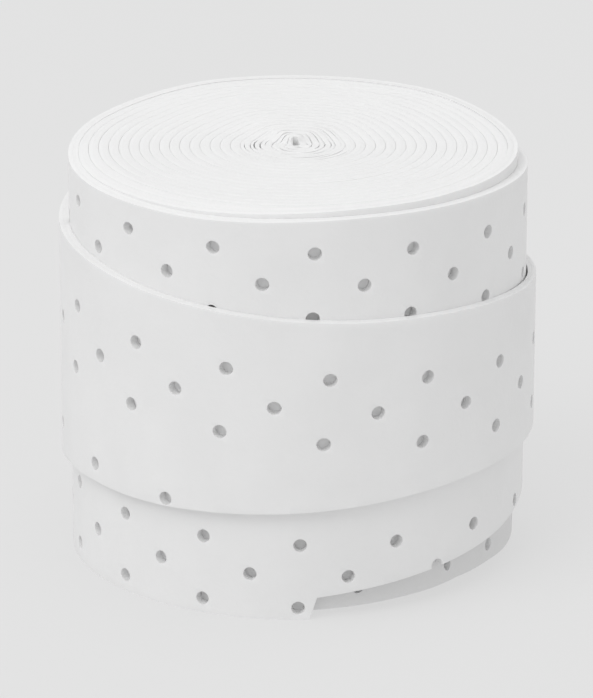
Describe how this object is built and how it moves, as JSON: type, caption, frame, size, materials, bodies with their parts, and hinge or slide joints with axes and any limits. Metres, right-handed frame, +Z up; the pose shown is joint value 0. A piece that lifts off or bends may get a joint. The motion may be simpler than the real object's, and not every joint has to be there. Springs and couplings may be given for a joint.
{
  "type": "grip tape roll",
  "caption": "Perforated racket grip tape with a slanted starter end, wound on itself into a short roll that stands on its flat end; the free end peels away.",
  "frame": {"origin": "centre of the roll's base, on the axis that the tape is wound about", "axes": "+Z up along the roll's axis; -Y is the front, where the last turn of full width starts to narrow; +X is where the free end peels"},
  "size_m": [0.0313, 0.031, 0.0273],
  "materials": {
    "polyurethane": "soft matt, finely grained white polyurethane",
    "non_woven_backing": "white non-woven fabric",
    "clear_film": "thin clear release film",
    "adhesive": "tacky, slightly yellow adhesive",
    "liner_paper": "smooth release paper"
  },
  "bodies": {
    "roll": {"core_face": "polyurethane", "core_backing": "non_woven_backing", "release_film": "clear_film", "outer_face": "polyurethane", "outer_backing": "non_woven_backing"},
    "lead": {"lead_face": "polyurethane", "lead_backing": "non_woven_backing"},
    "tip": {"tip_face": "polyurethane", "tip_backing": "non_woven_backing", "starter_adhesive": "adhesive", "adhesive_liner": "liner_paper"}
  },
  "joints": [
    {"name": "lead_peel", "type": "hinge", "parent": "roll", "child": "lead", "pos_m": [0.01582, 0, 0.0137], "axis": [0, 0, -1], "range_deg": [0, 50]},
    {"name": "tip_curl", "type": "hinge", "parent": "lead", "child": "tip", "pos_m": [0.01421, 0.00701, 0.0135], "axis": [0, 0, -1], "range_deg": [0, 50]}
  ],
  "couplings": [
    {"joint": "tip_curl", "follows": "lead_peel", "ratio": 1}
  ]
}
